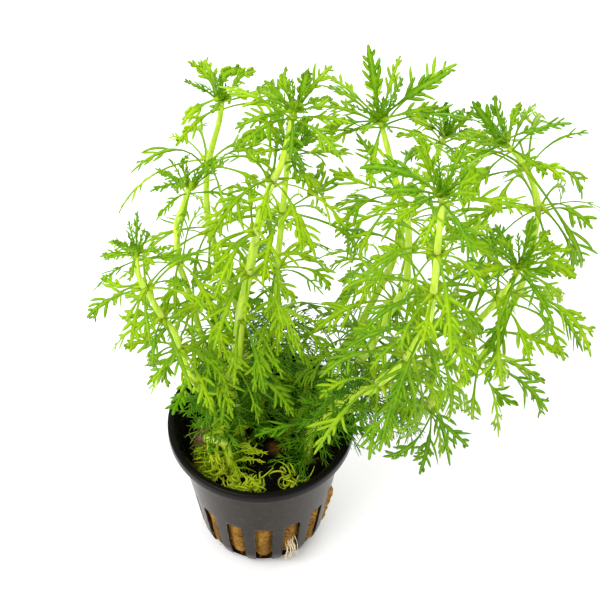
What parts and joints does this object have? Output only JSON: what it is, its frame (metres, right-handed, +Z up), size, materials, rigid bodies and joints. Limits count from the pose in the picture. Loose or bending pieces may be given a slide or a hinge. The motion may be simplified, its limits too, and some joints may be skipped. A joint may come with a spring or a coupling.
{
  "type": "potted aquarium stem plant",
  "caption": "Leafy stem plant with whorls of feathery leaves, rooted in a rock wool plug in a small slotted net pot, for planting in an aquarium.",
  "frame": {"origin": "centre of the pot's flat base", "axes": "+Z up, out of the pot along the stems; -Y towards the side the picture shows; +X to its right, where most stems lean"},
  "size_m": [0.1383, 0.0951, 0.1814],
  "materials": {
    "pot_plastic": "gloss",
    "rock_wool": "matte",
    "stem": "satin",
    "leaf": "satin"
  },
  "bodies": {
    "root": {"net_pot": "pot_plastic", "rock_wool": "rock_wool", "crown_a": "leaf", "crown_b": "leaf", "crown_c": "leaf", "crown_d": "leaf", "crown_e": "leaf", "crown_f": "leaf", "crown_g": "leaf", "crown_h": "leaf", "crown_j": "leaf", "crown_k": "leaf", "whorl_a_1": "leaf", "whorl_b_1": "leaf", "whorl_c_1": "leaf", "whorl_d_1": "leaf", "whorl_e_1": "leaf", "whorl_f_1": "leaf", "whorl_g_1": "leaf", "whorl_h_1": "leaf", "whorl_j_1": "leaf", "whorl_k_1": "leaf", "whorl_a_2": "leaf", "whorl_b_2": "leaf", "whorl_c_2": "leaf", "whorl_d_2": "leaf", "whorl_e_2": "leaf", "whorl_f_2": "leaf", "whorl_g_2": "leaf", "whorl_h_2": "leaf", "whorl_j_2": "leaf", "whorl_k_2": "leaf", "whorl_a_3": "leaf", "whorl_b_3": "leaf", "whorl_c_3": "leaf", "whorl_d_3": "leaf", "whorl_e_3": "leaf", "whorl_f_3": "leaf", "whorl_g_3": "leaf", "whorl_h_3": "leaf", "whorl_j_3": "leaf", "whorl_k_3": "leaf", "whorl_a_4": "leaf", "whorl_f_4": "leaf", "whorl_g_4": "leaf", "whorl_j_4": "leaf", "whorl_a_5": "leaf", "whorl_f_5": "leaf", "whorl_g_5": "leaf", "stem_a": "stem", "stem_b": "stem", "stem_c": "stem", "stem_d": "stem", "stem_e": "stem", "stem_f": "stem", "stem_g": "stem", "stem_h": "stem", "stem_j": "stem", "stem_k": "stem", "stem_old": "stem"}
  },
  "joints": []
}
